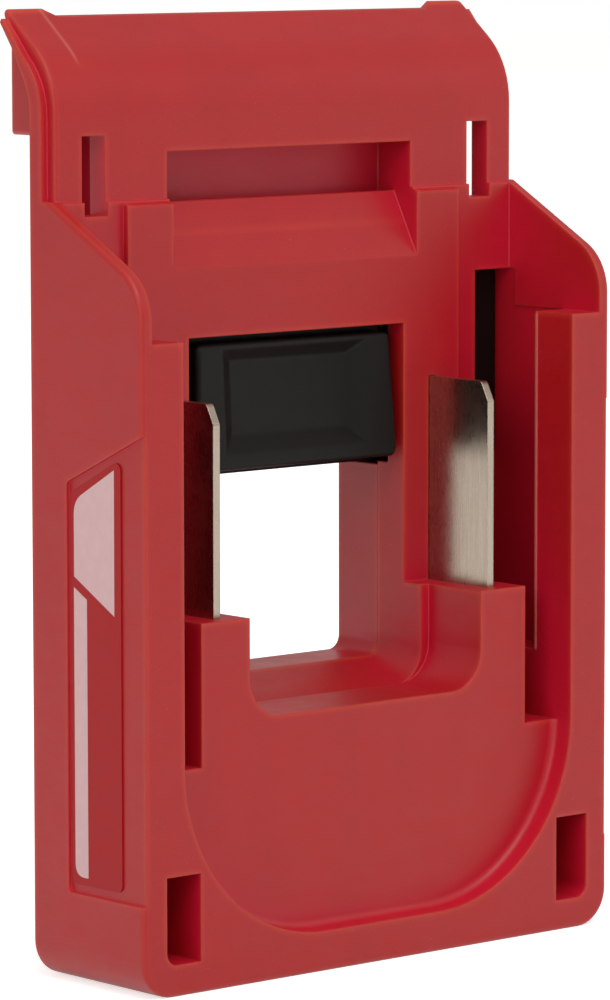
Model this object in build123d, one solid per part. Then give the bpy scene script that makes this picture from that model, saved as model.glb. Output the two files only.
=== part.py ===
from build123d import *
import math
import os

# Slide-in battery adapter: a moulded housing with two rail flanges, two blade terminals and a
# release paddle in its window, closed behind by a cover that carries the rails for the tool.
# While a piece is built, X runs to the right, Y into the depth from the front face of the
# flanges, and Z up from the base. Lengths are millimetres, angles degrees.

# Driving sizes of the whole adapter
body_width = 76.0
body_depth = 20.8
neck_height = 7.5
flare_top = 116.6
flare_rise = 12.6
head_height = 38.6
ear_rise = 15.9
flange_height = flare_top - head_height
ear_height = flange_height + ear_rise
flare_start = flare_top - flare_rise

# Fits between pieces
slip = 0.3
running = 0.05
overrun = 1.0

# Walls of the housing
side_wall = 1.65
groove_relief = 0.2
skin = 2.2
base_wall = 2.4
corner_radius = 4.6
edge_radius = 0.6
small_radius = 0.4

# Planes that lie behind the front face of the flanges
recess_floor = 3.0
plate_thickness = 2.9
plate_inset = 0.7
floor_step = 0.5
block_rise = 0.8
pan_thickness = 2.2
plate_back = body_depth - plate_inset
plate_face = plate_back - plate_thickness
floor_face = plate_face - floor_step
block_face = floor_face - block_rise
pan_face = floor_face + pan_thickness
seat_depth = body_depth + neck_height
half_body = body_width / 2
ear_inner = half_body - side_wall
groove_wall = ear_inner + groove_relief

# Rail flanges and the grooves behind them
flange_width = 6.4
flange_thickness = 6.7
flange_lip = 0.35
flange_lip_rise = 0.12
groove_bottom = 35.0
slot_bottom = 26.5
core_gap_width = 6.1
core_gap_rise = 4.7
core_gap_top = flange_height + core_gap_rise
flange_gap = body_width - 2 * flange_width
half_gap = flange_gap / 2

# Ears beside the plate
ear_slope = 28.5
ear_radius = 7.0

# Flare at the top
flare_radius = 10.5
flare_turn = 51.2
flare_lip = 0.45
flare_under_drop = 1.5
flare_under_step = 0.65
flare_knee_thickness = 3.1
flare_back_rise = 2.5
flare_back_radius = 8.0
plate_edge_inset = 1.0
plate_edge_step = 1.5
layer_tip_drop = 1.1
layer_tip_step = 0.3
cap_width = 8.1
cap_radius = 0.8
notch_depth = 0.95
notch_bevel = 1.6

# Raised block, terminal posts and window
rail_slot = 5.1
post_thickness = 7.6
post_top = 43.9
post_wall = 1.4
block_lap = 0.5
block_drop = 0.8
block_bevel = 0.6
blade_seat = 1.0
cut_bottom = 31.7
cut_radius = 4.8
cut_ledge = 3.2
window_ledge = 1.35
window_drop = 1.3
window_sill_rise = 2.5
window_front_radius = 4.0
window_radius = 1.8
block_top = ear_height - block_drop
plate_bottom = block_top + block_bevel
window_top = flange_height - window_drop
window_bottom = cut_bottom + window_sill_rise
post_width = flange_gap - 2 * rail_slot
cut_width = post_width - 2 * post_thickness
block_width = post_width + 2 * block_lap
window_width = cut_width - 2 * window_ledge
cut_depth = block_face - cut_ledge

# Rounded recess of the lower front
recess_bottom = 5.0
recess_radius = 22.3
recess_foot_radius = 0.9

# Pocket and ramp for the latch of the battery
pocket_side = 6.7
pocket_drop = 2.5
pocket_rise = 6.3
pocket_depth = 7.4
ramp_height = 8.0
ramp_drop = 4.4
ramp_lip = 0.9
pocket_wall = 1.4
pocket_bottom = block_top - pocket_drop
pocket_top = block_top + pocket_rise
ramp_bottom = block_top - ramp_height
pocket_width = post_width - 2 * pocket_side
pocket_floor = block_face + pocket_depth
ramp_floor = block_face + ramp_drop

# Slots of the plate
slot_side = 5.05
slot_width = 3.55
slot_drop = 1.9
slot_height = 9.6
slot_low = ear_height - slot_drop
slot_high = slot_low + slot_height
slot_outer = half_body - slot_side
slot_inner = slot_outer - slot_width

# Pockets in the lower corners
corner_pocket_width = 5.25
corner_pocket_height = 10.65
corner_pocket_bottom = 3.85
corner_pocket_side = 6.2
corner_pocket_depth = 8.0
corner_pocket_radius = 1.6
corner_pocket_middle = half_body - corner_pocket_side

# Recess and label on the sides
label_recess_depth = 0.45
label_recess_behind = 6.6
label_recess_bottom = 11.4
label_recess_drop = 11.0
label_recess_slope_drop = 6.2
label_recess_front_top = 0.5
label_recess_radius = 0.6
label_thickness = 0.2
label_gap = 0.35
label_front = 4.3
label_bottom = 12.5
label_drop = 13.7
label_slope_drop = 4.7
label_radius = 0.9
label_recess_high_top = flange_height - label_recess_drop
label_recess_low_top = label_recess_high_top - label_recess_slope_drop
label_high_top = flange_height - label_drop
label_low_top = label_high_top - label_slope_drop
label_recess_back = body_depth - label_recess_behind
label_back = label_recess_back - label_gap

# Cover
cover_inset = 1.4
cover_thickness = 1.6
cover_bottom = 2.4
cover_drop = 3.3
cover_radius = 3.6
neck_wall = 1.6
neck_bottom = 6.0
neck_drop = 2.45
lip_reach = 3.5
lip_thickness = 2.4
roof_thickness = 1.5
window_wall = 1.8
paddle_bay_side = 2.95
paddle_bay_gap = 0.4
brow_inset = 2.5
brow_set_back = 0.95
brow_wall = 1.6
brow_radius = 0.5
brow_rib_thickness = 1.2
brow_rib_count = 4
contact_slot_width = 2.6
contact_slot_top = 24.0
bearing_drop = 4.0
bearing_rise = 3.5
spring_rest_width = 1.6
spring_rest_rise = 2.4
spring_rest_height = 3.1
cover_top = ear_height - cover_drop
neck_top = flare_start - neck_drop
roof_edge = window_top + slip
cover_width = body_width - 2 * cover_inset
neck_width = post_width
lip_width = neck_width + 2 * lip_reach
paddle_bay_width = window_width + 2 * paddle_bay_side
brow_width = body_width - 2 * brow_inset
brow_depth = seat_depth - brow_set_back

# Screws that hold the cover, and their bosses
screw_radius = 1.45
screw_core_radius = 1.15
screw_head_radius = 2.7
screw_head_height = 1.7
screw_low_height = 9.2
screw_high_drop = 3.2
screw_high_side = 6.8
screw_low_sink = 0.5
screw_high_rise = 0.8
screw_tip_gap = 0.2
screw_well_wall = 1.5
screw_well_radius = 4.1
boss_radius = 3.0
boss_skin = 0.8
screw_high_height = cover_top - screw_high_drop
screw_low_seat = body_depth - screw_low_sink
screw_high_seat = body_depth + screw_high_rise

# Carrier plate behind the floor
carrier_thickness = 1.55
carrier_drop = 1.2
carrier_notch = 1.2
carrier_bay_drop = 0.1
carrier_rim_drop = 0.7
carrier_foot_drop = 0.5
carrier_top = cover_top - carrier_drop
carrier_bridge_top = carrier_top - carrier_notch
carrier_width = 2 * (groove_wall - slip)
carrier_back = body_depth - running
carrier_face = carrier_back - carrier_thickness

# Release paddle
paddle_side_gap = 1.25
paddle_taper = 0.6
paddle_top_gap = 1.0
paddle_height = 15.6
paddle_lean = 0.85
paddle_flange_gap = 0.5
paddle_flange_rise = 1.5
paddle_lip_drop = 1.2
paddle_corner = 1.0
paddle_edge = 0.35
paddle_wall = 1.9
paddle_rear_drop = 0.2
paddle_neck_thickness = 2.2
paddle_rib_width = 2.0
paddle_rib_reach = 1.8
paddle_core_count = 2
paddle_core_rib = 1.5
nub_width = 11.0
dish_side = 3.9
dish_height = 13.1
dish_drop = 0.6
dish_floor_side = 2.35
dish_floor_height = 9.1
dish_floor_drop = 1.7
dish_depth = 1.6
paddle_top = window_top - paddle_top_gap
paddle_bottom = paddle_top - paddle_height
paddle_lip_bottom = paddle_bottom - paddle_lip_drop
paddle_rear_top = paddle_top - paddle_rear_drop
dish_top = paddle_top - dish_drop
paddle_bottom_width = window_width - 2 * paddle_side_gap
paddle_top_width = paddle_bottom_width - 2 * paddle_taper
paddle_bottom_face = block_face - slip
paddle_top_face = paddle_bottom_face + paddle_lean
paddle_flange_width = paddle_bay_width - 2 * paddle_flange_gap
paddle_flange_face = body_depth + paddle_flange_rise
paddle_back = seat_depth - slip
paddle_neck_face = carrier_face + slip
dish_width = paddle_top_width - 2 * dish_side
dish_floor_width = dish_width - 2 * dish_floor_side

# Pivot of the paddle
pivot_rise = 4.5
pivot_radius = 1.25
barrel_radius = 2.9
barrel_side = 1.05
pivot_height = roof_edge + pivot_rise
pivot_depth = seat_depth - roof_thickness - slip - barrel_radius
barrel_width = window_width - 2 * barrel_side
pin_length = neck_width - 2 * neck_wall - 4 * running

# Heights of the cover and the carrier that follow the paddle and its pivot
paddle_bay_bottom = paddle_lip_bottom - paddle_bay_gap
bearing_low = pivot_height - bearing_drop
bearing_high = pivot_height + bearing_rise
spring_rest_low = pivot_height + spring_rest_rise
spring_rest_high = spring_rest_low + spring_rest_height
carrier_bottom = paddle_bottom - carrier_foot_drop
carrier_rim_top = paddle_top - carrier_rim_drop
carrier_bay_top = bearing_high - carrier_bay_drop

# Return springs round the pivot pin
wire = 0.6
wire_sides = 5
coil_radius = 1.95
coil_pitch = 1.1
coil_turns = 3
spring_leg_up = 4.4
spring_leg_down = 10.2
spring_gap = 0.35
spring_notch_width = 1.6
spring_notch_drop = 11.5
spring_notch_low = pivot_height - spring_notch_drop

# Blade terminals
blade_thickness = 1.05
blade_side = 4.125
blade_front = 5.0
blade_length = 25.85
blade_chamfer_depth = 1.25
blade_chamfer_height = 2.4
blade_corner = 0.7
blade_foot = 16.0
blade_foot_front = 6.2
blade_top = post_top + blade_length
blade_middle = post_width / 2 - blade_side

# Fork contacts for the blades of the tool
fork_sheet = 0.6
fork_mouth = 9.4
fork_pinch = 12.2
fork_web = 25.0
fork_pinch_gap = 0.5
fork_mouth_gap = 1.8

# Shroud round the two contacts
shroud_bottom = 8.2
shroud_top = 24.4
shroud_bay_width = 5.2
shroud_wall = 1.4
shroud_front = body_depth + 2 * running
shroud_width = neck_width - 2 * neck_wall - 2 * slip
fork_front = shroud_front + slip
fork_back = seat_depth - roof_thickness - 2 * slip

# Strips that join each blade to its contact
strip_thickness = 0.8
strip_front = 7.5
strip_step = 25.8
strip_top = 31.0
rivet_radius = 0.9
rivet_head_radius = 1.5
rivet_head_height = 0.5
rivet_low_height = 20.5
rivet_high_height = 28.4
strip_back = fork_back - fork_sheet
rivet_front_depth = (strip_front + block_face) / 2
rivet_back_depth = (fork_front + fork_back) / 2


def block(x, y, z):
    """Box from three pairs of low and high values."""
    middle = Pos(sum(x) / 2, sum(y) / 2, sum(z) / 2)
    return middle * Box(x[1] - x[0], y[1] - y[0], z[1] - z[0])


def both_sides(shape):
    """A piece with its mirror image across the middle."""
    return shape + mirror(shape, about=Plane.YZ)


def side_pair(x, y, z):
    """Two boxes, one on each side of the middle."""
    return both_sides(block(x, y, z))


def across(sketch, low, high):
    """Extrudes an outline of depth and height along the width."""
    return extrude(Plane.YZ.offset(low) * sketch, high - low)


def deep(sketch, front, back):
    """Extrudes an outline of width and height into the depth."""
    return extrude(Plane.XZ.offset(-front) * sketch, front - back)


def outline(*points):
    return make_face(Polyline(*points, close=True))


def rounded(sketch, radius):
    """Rounds every corner of an outline."""
    return fillet(sketch.vertices(), radius)


def rounded_base(sketch, radius):
    """Rounds the two lowest corners of an outline."""
    return fillet(sketch.vertices().group_by(Axis.Y)[0], radius)


def upright(x, low, high, radius=0.0):
    """Outline of width and height between two heights, centred on the middle."""
    width = 2 * x
    shape = Rectangle(width, high - low) if radius == 0 else RectangleRounded(width, high - low, radius)
    return Pos(0, (low + high) / 2) * shape


def flare_points():
    """Knee of the flare, front of its tip, and the corners of its back: knee, under the tip, tip."""
    turn = math.radians(flare_turn)
    knee = (plate_face + flare_radius * (1 - math.cos(turn)), flare_start + flare_radius * math.sin(turn))
    tip = (knee[0] + (flare_top - knee[1]) * math.tan(turn), flare_top)
    knee_back = (knee[0] + flare_knee_thickness, knee[1])
    tip_back = (tip[0] + flare_lip, flare_top)
    under = (tip_back[0] - flare_under_step, flare_top - flare_under_drop)
    return knee, tip, knee_back, under, tip_back


def flare_back_start():
    """Corner where the back of the plate turns into the back of the flare."""
    return body_depth, flare_start + flare_back_rise


def ease_back(face):
    """Rounds the corner where the back of the plate turns into the back of the flare."""
    corner = face.vertices().sort_by_distance(flare_back_start())[0]
    return fillet(corner, flare_back_radius)


def plate_outline(inset, tip):
    """Depth and height outline of the upper plate, set back from its front, up to the points of a tip."""
    radius = flare_radius - inset
    middle = (plate_face + flare_radius, flare_start)
    turn = math.radians(flare_turn)
    start = (plate_face + inset, flare_start)
    bend = (middle[0] - radius * math.cos(turn / 2), middle[1] + radius * math.sin(turn / 2))
    knee = (middle[0] - radius * math.cos(turn), middle[1] + radius * math.sin(turn))
    knee_back, under = flare_points()[2:4]
    low = (plate_face + inset, ear_height - skin)
    edges = [
        Line(low, start),
        ThreePointArc(start, bend, knee),
        Polyline(knee, *tip, under, knee_back, flare_back_start(), (body_depth, low[1]), low),
    ]
    return ease_back(make_face(edges))


def upper_plate():
    """Plate above the floor, with its flare, its end caps and the set-back edge layer."""
    tip, under, tip_back = flare_points()[1], flare_points()[3], flare_points()[4]
    layer_tip = (under[0] - layer_tip_step, flare_top - layer_tip_drop)
    half = half_body - plate_edge_inset
    front = across(plate_outline(0, (tip, tip_back)), -half, half)
    ends = front.faces().filter_by(Axis.X)
    faces = [face for face in front.faces() if face not in ends and face.normal_at().Y < 0]
    sides = [edge for face in faces for edge in face.edges() if abs(edge.center().X) > half - running]
    front = fillet(sides, small_radius)
    frame = upright(half, ear_height - skin, flare_top)
    frame = fillet(frame.vertices().group_by(Axis.Y)[-1], cap_radius)
    front &= deep(frame, plate_face, tip_back[0] + overrun)
    layer = across(plate_outline(plate_edge_step, (layer_tip,)), -half_body, half_body)
    plate = front + layer
    high = half_body - cap_width + notch_bevel
    low = half_body - cap_width
    slope = notch_bevel / notch_depth * overrun
    notch = outline(
        (-low, flare_top - notch_depth),
        (low, flare_top - notch_depth),
        (high + slope, flare_top + overrun),
        (-high - slope, flare_top + overrun),
    )
    return plate - deep(notch, plate_face, seat_depth)


def ear_outline():
    """Depth and height outline of the side walls, from the base to the slope of the ears."""
    slope = math.tan(math.radians(ear_slope))
    front_top = ear_height - plate_face * slope
    face = outline(
        (0, 0),
        (body_depth, 0),
        (body_depth, ear_height),
        (plate_face, ear_height),
        (0, front_top),
    )
    corner = face.vertices().sort_by_distance((0, front_top))[0]
    return fillet(corner, ear_radius)


def housing_body():
    """Outer block of the housing with its rounded base corners and front edges."""
    body = across(ear_outline(), -half_body, half_body)
    frame = rounded_base(upright(half_body, 0, ear_height), corner_radius)
    body &= deep(frame, 0, body_depth)
    front = body.faces().sort_by(Axis.Y)[0]
    rim = [edge for edge in front.edges() if edge.center().Z < ear_height / 2]
    slopes = [edge for edge in body.edges() if edge.center().Z > flange_height]
    slopes = [edge for edge in slopes if abs(edge.center().X) > ear_inner]
    slopes = [edge for edge in slopes if edge.center().Y < plate_face - 2 * edge_radius]
    return fillet([*rim, *slopes], edge_radius)


def battery_channel():
    """Everything that is open in front of the floor, where the battery slides in."""
    front = -overrun
    roof = ear_height + overrun
    open_top = block((-ear_inner, ear_inner), (front, floor_face), (flange_height, plate_bottom))
    open_plate = block((-ear_inner, ear_inner), (front, plate_face), (plate_bottom, roof))
    between = block((-half_gap, half_gap), (front, floor_face), (post_top, flange_height))
    behind = (flange_thickness, floor_face)
    grooves = side_pair((half_gap - overrun, groove_wall), behind, (groove_bottom, flange_height))
    slots = side_pair((post_width / 2, half_gap), (front, floor_face), (slot_bottom, post_top))
    recess = rounded_base(upright(half_gap, recess_bottom, post_top + overrun), recess_radius)
    recess = deep(recess, front, recess_floor)
    foot = [edge for edge in recess.faces().sort_by(Axis.Y)[-1].edges() if edge.center().Z < slot_bottom]
    recess = fillet(foot, recess_foot_radius)
    return open_top + open_plate + between + grooves + slots + recess


def raised_block():
    """Raised middle of the floor, with the bevel at its upper edge."""
    side = outline(
        (block_face, post_top),
        (pan_face, post_top),
        (pan_face, plate_bottom),
        (plate_face, plate_bottom),
        (block_face, block_top),
    )
    return across(side, -block_width / 2, block_width / 2)


def window_cut():
    """Front cut between the posts and the window, whose sill rises and tightens towards the back."""
    cut = rounded_base(upright(cut_width / 2, cut_bottom, post_top + overrun), cut_radius)
    front = deep(cut, -overrun, cut_depth)
    half = window_width / 2
    near = rounded_base(upright(half, cut_bottom, window_top), window_front_radius)
    far = rounded_base(upright(half, window_bottom, window_top), window_radius)
    window = loft([Plane.XZ.offset(-cut_depth) * near, Plane.XZ.offset(-body_depth) * far])
    return front + window + deep(far, body_depth, body_depth + overrun)


def pocket_outline():
    """Depth and height outline of the latch pocket: ramp, lip, the drop behind the lip, and the back."""
    return outline(
        (block_face - overrun, ramp_bottom),
        (block_face, ramp_bottom),
        (ramp_floor, block_top),
        (ramp_floor + ramp_lip, block_top),
        (ramp_floor + ramp_lip, pocket_bottom),
        (pocket_floor, pocket_bottom),
        (pocket_floor, pocket_top),
        (block_face - overrun, pocket_top),
    )


def pocket_shell():
    """Depth and height outline of the walls that hold the latch pocket."""
    low = pocket_bottom - pocket_wall
    slope = ramp_drop / ramp_height
    back = pocket_floor + pocket_wall
    return outline(
        (block_face - overrun, ramp_bottom - pocket_wall),
        (block_face, ramp_bottom - pocket_wall),
        (block_face + slope * (low - ramp_bottom + pocket_wall), low),
        (back, low),
        (back, pocket_top + pocket_wall),
        (block_face - overrun, pocket_top + pocket_wall),
    )


def pocket_box():
    """Walls that stand behind the floor and the plate round the latch pocket."""
    half = pocket_width / 2 + pocket_wall
    box = across(pocket_shell(), -half, half)
    return box & block((-half, half), (plate_face, seat_depth), (ramp_bottom - pocket_wall, neck_top))


def label_outline(depth_low, depth_high, bottom, low_top, high_top):
    """Upright panel of a side, with the sloping top that the label follows."""
    return outline(
        (depth_low, bottom),
        (depth_high, bottom),
        (depth_high, low_top),
        (depth_low, high_top),
    )


def label_recesses():
    """Shallow recess on each side, open at the front edge."""
    slope = (label_recess_high_top - label_recess_low_top) / (label_recess_back - label_recess_front_top)
    panel = label_outline(
        -overrun,
        label_recess_back,
        label_recess_bottom,
        label_recess_low_top,
        label_recess_high_top + slope * (label_recess_front_top + overrun),
    )
    panel = fillet(panel.vertices().group_by(Axis.X)[-1], label_recess_radius)
    inner = half_body - label_recess_depth
    return both_sides(across(panel, inner, half_body + overrun))


def corner_pockets(grow, back):
    """Pocket in each lower corner, grown by a wall for the block that surrounds it."""
    width = corner_pocket_width + 2 * grow
    height = corner_pocket_height + 2 * grow
    middle = corner_pocket_bottom + corner_pocket_height / 2
    shape = Pos(corner_pocket_middle, middle) * Rectangle(width, height)
    outer = (corner_pocket_middle + width / 2, middle - height / 2)
    shape = fillet(shape.vertices().sort_by_distance(outer)[0], corner_pocket_radius + grow)
    return both_sides(deep(shape, -overrun, back))


def screw_places():
    """Width, height, boss front and head seat of the four cover screws."""
    low = corner_pocket_depth + post_wall
    for side in (-1, 1):
        yield side * corner_pocket_middle, screw_low_height, low, screw_low_seat
        yield side * (half_body - screw_high_side), screw_high_height, plate_face, screw_high_seat


def rod(x, z, front, back, radius):
    """Round bar along the depth."""
    return Pos(x, (front + back) / 2, z) * Rot(90, 0, 0) * Cylinder(radius, back - front)


def rear_hollows():
    """Space inside the housing, open at the back, less the walls that stay in it."""
    inner = groove_wall
    depth = (recess_floor + base_wall, body_depth)
    lower = block((-inner, inner), depth, (base_wall, slot_bottom - skin))
    middle = post_width / 2 - post_wall
    lower += block((-middle, middle), depth, (base_wall, cut_bottom - skin))
    pan = block((-inner, inner), (pan_face, body_depth), (base_wall, cover_top))
    posts = side_pair(
        (cut_width / 2 + post_wall, post_width / 2 - post_wall),
        (recess_floor + post_wall, body_depth),
        (base_wall, post_top - post_wall),
    )
    behind = block((-inner, inner), (plate_back, body_depth), (cover_top + slip, flare_start))
    hollow = lower + pan + posts + behind
    collar = window_width / 2 + post_wall
    beside = (-collar, collar)
    hollow -= block(beside, (recess_floor, body_depth), (cut_bottom - skin, paddle_lip_bottom))
    hollow -= block(beside, (recess_floor, carrier_face - slip), (cut_bottom, window_top + post_wall))
    hollow -= corner_pockets(post_wall, corner_pocket_depth + post_wall)
    hollow -= pocket_box()
    for x, z, front, seat in screw_places():
        hollow -= rod(x, z, front, seat - screw_well_wall, boss_radius)
    return hollow


def front_ribs():
    """Ribs that stiffen the lower front wall between its recess and the back."""
    low = base_wall
    high = cut_bottom - skin
    return [
        block(
            (x - post_wall / 2, x + post_wall / 2),
            (recess_floor + base_wall, shroud_front - 2 * overrun),
            (low, high),
        )
        for x in (-cut_width / 4, cut_width / 4)
    ]


def flange_lips():
    """Fine raised line along the back corner of each flange, where the halves of the mould meet."""
    width = (half_gap - flange_lip_rise, half_gap + running)
    depth = (flange_thickness - flange_lip, flange_thickness)
    return side_pair(width, depth, (groove_bottom, flange_height - flange_lip))


def front_housing():
    body = housing_body() + upper_plate()
    body -= battery_channel()
    body += raised_block()
    body += pocket_box()
    body -= window_cut()
    body -= rear_hollows()
    pocket_half = pocket_width / 2
    body -= across(pocket_outline(), -pocket_half, pocket_half)
    body -= side_pair((slot_inner, slot_outer), (block_face, body_depth + overrun), (slot_low, slot_high))
    gap = (groove_wall - core_gap_width, groove_wall)
    body -= side_pair(gap, (floor_face - overrun, body_depth), (groove_bottom, core_gap_top))
    body -= corner_pockets(0, corner_pocket_depth)
    body -= label_recesses()
    body += flange_lips()
    blade_hole = blade_thickness / 2 + running
    body -= side_pair(
        (blade_middle - blade_hole, blade_middle + blade_hole),
        (blade_front - running, block_face + blade_seat + running),
        (post_top - post_wall - overrun, post_top + overrun),
    )
    body -= side_pair(
        (blade_middle - blade_hole, blade_middle + blade_hole),
        (block_face - overrun, block_face + blade_seat + running),
        (post_top, blade_top + running),
    )
    for rib in front_ribs():
        body += rib
    for x, z, front, seat in screw_places():
        well = seat - screw_well_wall
        body -= rod(x, z, front + boss_skin, body_depth, screw_core_radius)
        body -= rod(x, z, well, body_depth + overrun, screw_well_radius + slip)
    return body


def cover_neck():
    """Raised platform of the cover, with the lips that the rails of the tool hold."""
    neck = deep(upright(neck_width / 2, neck_bottom, neck_top), body_depth, seat_depth)
    lip = upright(lip_width / 2, neck_bottom, neck_top)
    lips = deep(rounded(lip, edge_radius), seat_depth - lip_thickness, seat_depth)
    inner = neck_width / 2 - neck_wall
    depth = (body_depth - overrun, seat_depth - roof_thickness)
    hollow = block((-inner, inner), depth, (neck_bottom + neck_wall, neck_top - neck_wall))
    return neck + lips, hollow


def cover_brow():
    """Hood above the platform that backs the flare, hollow below, with its ribs."""
    half = brow_width / 2
    knee_back, under = flare_points()[2:4]
    start = flare_back_start()
    slope = (knee_back[0] - start[0]) / (knee_back[1] - start[1])
    rise = (under[1] - knee_back[1]) / (under[0] - knee_back[0])
    low = knee_back[1] - slip
    high = knee_back[1] + rise * (brow_depth - knee_back[0]) - 2 * slip
    profile = outline(
        (body_depth, neck_top),
        (brow_depth, neck_top),
        (brow_depth, high),
        (start[0] + slope * (low - start[1]), low),
        start,
    )
    hood = across(ease_back(profile), -half, half)
    inner = half - brow_wall
    hollow = block(
        (-inner, inner),
        (body_depth - overrun, brow_depth - brow_wall),
        (neck_top - overrun, low - 2 * brow_wall),
    )
    pitch = 2 * inner / (brow_rib_count + 1)
    for index in range(brow_rib_count):
        x = -inner + pitch * (index + 1)
        rib = (x - brow_rib_thickness / 2, x + brow_rib_thickness / 2)
        hollow -= block(rib, (body_depth, brow_depth), (neck_top - overrun, low))
    corners = hood.edges().filter_by(Axis.Y).group_by(Axis.Z)[0]
    return fillet(corners, brow_radius) - hollow


def cover_plate():
    """Flat part of the cover that closes the back of the housing."""
    half = cover_width / 2
    plate = rounded_base(upright(half, cover_bottom, cover_top), cover_radius)
    return deep(plate, body_depth, body_depth + cover_thickness)


def rear_cover():
    neck, hollow = cover_neck()
    body = cover_plate() + neck
    window_half = window_width / 2
    walls = block(
        (-window_half - window_wall, window_half + window_wall),
        (body_depth, seat_depth),
        (window_bottom - window_wall, paddle_bay_bottom),
    )
    hollow -= walls
    coil_end = barrel_width / 2 + coil_pitch * (coil_turns + 1) + slip
    bearing = (coil_end, neck_width / 2 - neck_wall)
    hollow -= side_pair(bearing, (body_depth, seat_depth), (bearing_low, bearing_high))
    leg = spring_start() + coil_pitch * coil_turns
    hollow -= side_pair(
        (leg - spring_rest_width / 2, leg + spring_rest_width / 2),
        (pivot_depth + coil_radius + wire / 2 + running, seat_depth),
        (spring_rest_low, spring_rest_high),
    )
    body -= hollow
    pad = pocket_wall + slip
    pad_half = pocket_width / 2 + pad
    pad_depth = (body_depth - overrun, pocket_floor + pad)
    body -= block((-pad_half, pad_half), pad_depth, (ramp_bottom, pocket_top + pad))
    through = (body_depth - overrun, seat_depth + overrun)
    window = deep(upright(window_half, window_bottom, paddle_bay_bottom + overrun), *through)
    body -= fillet(window.edges().filter_by(Axis.Y).group_by(Axis.Z)[0], window_radius)
    bay = paddle_bay_width / 2
    body -= block((-bay, bay), through, (paddle_bay_bottom, roof_edge))
    seat = pivot_radius + running / 2
    pin_seat = pin_length / 2 + running
    body -= Pos(0, pivot_depth, pivot_height) * Rot(0, 90, 0) * Cylinder(seat, 2 * pin_seat)
    entry = (pivot_height - seat, pivot_height + seat)
    body -= block((-pin_seat, pin_seat), (body_depth - overrun, pivot_depth), entry)
    slot_half = contact_slot_width / 2
    body -= side_pair(
        (blade_middle - slot_half, blade_middle + slot_half),
        (body_depth + cover_thickness, seat_depth + overrun),
        (neck_bottom - overrun, contact_slot_top),
    )
    body += cover_brow()
    for x, z, front, seat in screw_places():
        well = seat - screw_well_wall
        body += rod(x, z, well, body_depth + running, screw_well_radius)
        body -= rod(x, z, well - overrun, seat, screw_radius + running)
        body -= rod(x, z, seat, seat_depth - lip_thickness, screw_head_radius + slip)
    return body


def latch_carrier():
    """Plate behind the floor, with a rim round the paddle and a pad on each end of the pin."""
    half = carrier_width / 2
    bay = window_width / 2 + slip
    plate = deep(upright(half, carrier_bottom, carrier_top), carrier_face, carrier_back)
    pocket = pocket_width / 2 + pocket_wall + slip
    notch = (carrier_bridge_top, carrier_top + overrun)
    plate -= block((-pocket, pocket), (carrier_face - overrun, body_depth), notch)
    rim = paddle_bay_width / 2 - slip
    rim_depth = (carrier_face, paddle_flange_face - slip)
    plate += side_pair((bay, rim), rim_depth, (carrier_bottom, carrier_rim_top))
    seat = pivot_radius - running
    pad_inner = barrel_width / 2 + coil_pitch * (coil_turns + 1) + 2 * slip
    pad_outer = neck_width / 2 - neck_wall - slip
    plate += side_pair(
        (pad_inner, pad_outer),
        (carrier_face, pivot_depth),
        (pivot_height - seat, pivot_height + seat),
    )
    pin_turn = Pos(0, pivot_depth, pivot_height) * Rot(0, 90, 0)
    plate -= pin_turn * Cylinder(pivot_radius + running, neck_width)
    opening = (carrier_bottom - overrun, carrier_bay_top)
    plate -= block((-bay, bay), (carrier_face - overrun, seat_depth), opening)
    for x, z, front, seat in screw_places():
        plate -= rod(x, z, carrier_face - overrun, seat_depth, screw_well_radius + slip)
    return plate


def paddle_plane():
    """Plane on the leaning face of the paddle: X across, Y up the face."""
    lean = math.atan2(paddle_lean, paddle_top - paddle_bottom)
    normal = (0, -math.cos(lean), math.sin(lean))
    return Plane(origin=(0, paddle_bottom_face, paddle_bottom), x_dir=(1, 0, 0), z_dir=normal)


def paddle_dish():
    """Dished thumb rest, wide at the face and narrower at its floor."""
    face = paddle_plane()
    rim_middle = dish_top - dish_height / 2 - paddle_bottom
    floor_middle = dish_top - dish_floor_drop - dish_floor_height / 2 - paddle_bottom
    rim = face * (Pos(0, rim_middle) * Rectangle(dish_width, dish_height))
    floor = Pos(0, floor_middle) * Rectangle(dish_floor_width, dish_floor_height)
    return loft([face.offset(-dish_depth) * floor, rim]) + extrude(rim, overrun)


def paddle_button():
    """Front part of the paddle, narrower at the top, with its leaning face and eased edges."""
    front = outline(
        (-paddle_bottom_width / 2, paddle_bottom),
        (paddle_bottom_width / 2, paddle_bottom),
        (paddle_top_width / 2, paddle_top),
        (-paddle_top_width / 2, paddle_top),
    )
    front = fillet(front.vertices(), paddle_corner)
    button = deep(front, paddle_bottom_face - overrun, paddle_flange_face)
    slope = paddle_lean / (paddle_top - paddle_bottom)
    lean = outline(
        (paddle_bottom_face - slope * overrun, paddle_bottom - overrun),
        (paddle_flange_face, paddle_bottom - overrun),
        (paddle_flange_face, paddle_top + overrun),
        (paddle_top_face + slope * overrun, paddle_top + overrun),
    )
    button &= across(lean, -paddle_bottom_width, paddle_bottom_width)
    return chamfer(button.faces().sort_by(Axis.Y)[0].edges(), paddle_edge)


def paddle_cores():
    """Narrow cores behind the button, in a row on either side of the nub."""
    inner = nub_width / 2
    outer = paddle_top_width / 2 - paddle_wall
    width = (outer - inner - (paddle_core_count - 1) * paddle_core_rib) / paddle_core_count
    depth = (paddle_bottom_face + dish_depth + paddle_wall, paddle_back + overrun)
    height = (paddle_bottom + paddle_wall, paddle_rear_top - paddle_wall)
    cores = []
    for index in range(paddle_core_count):
        low = inner + index * (width + paddle_core_rib)
        cores.append(side_pair((low, low + width), depth, height))
    return cores


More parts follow.
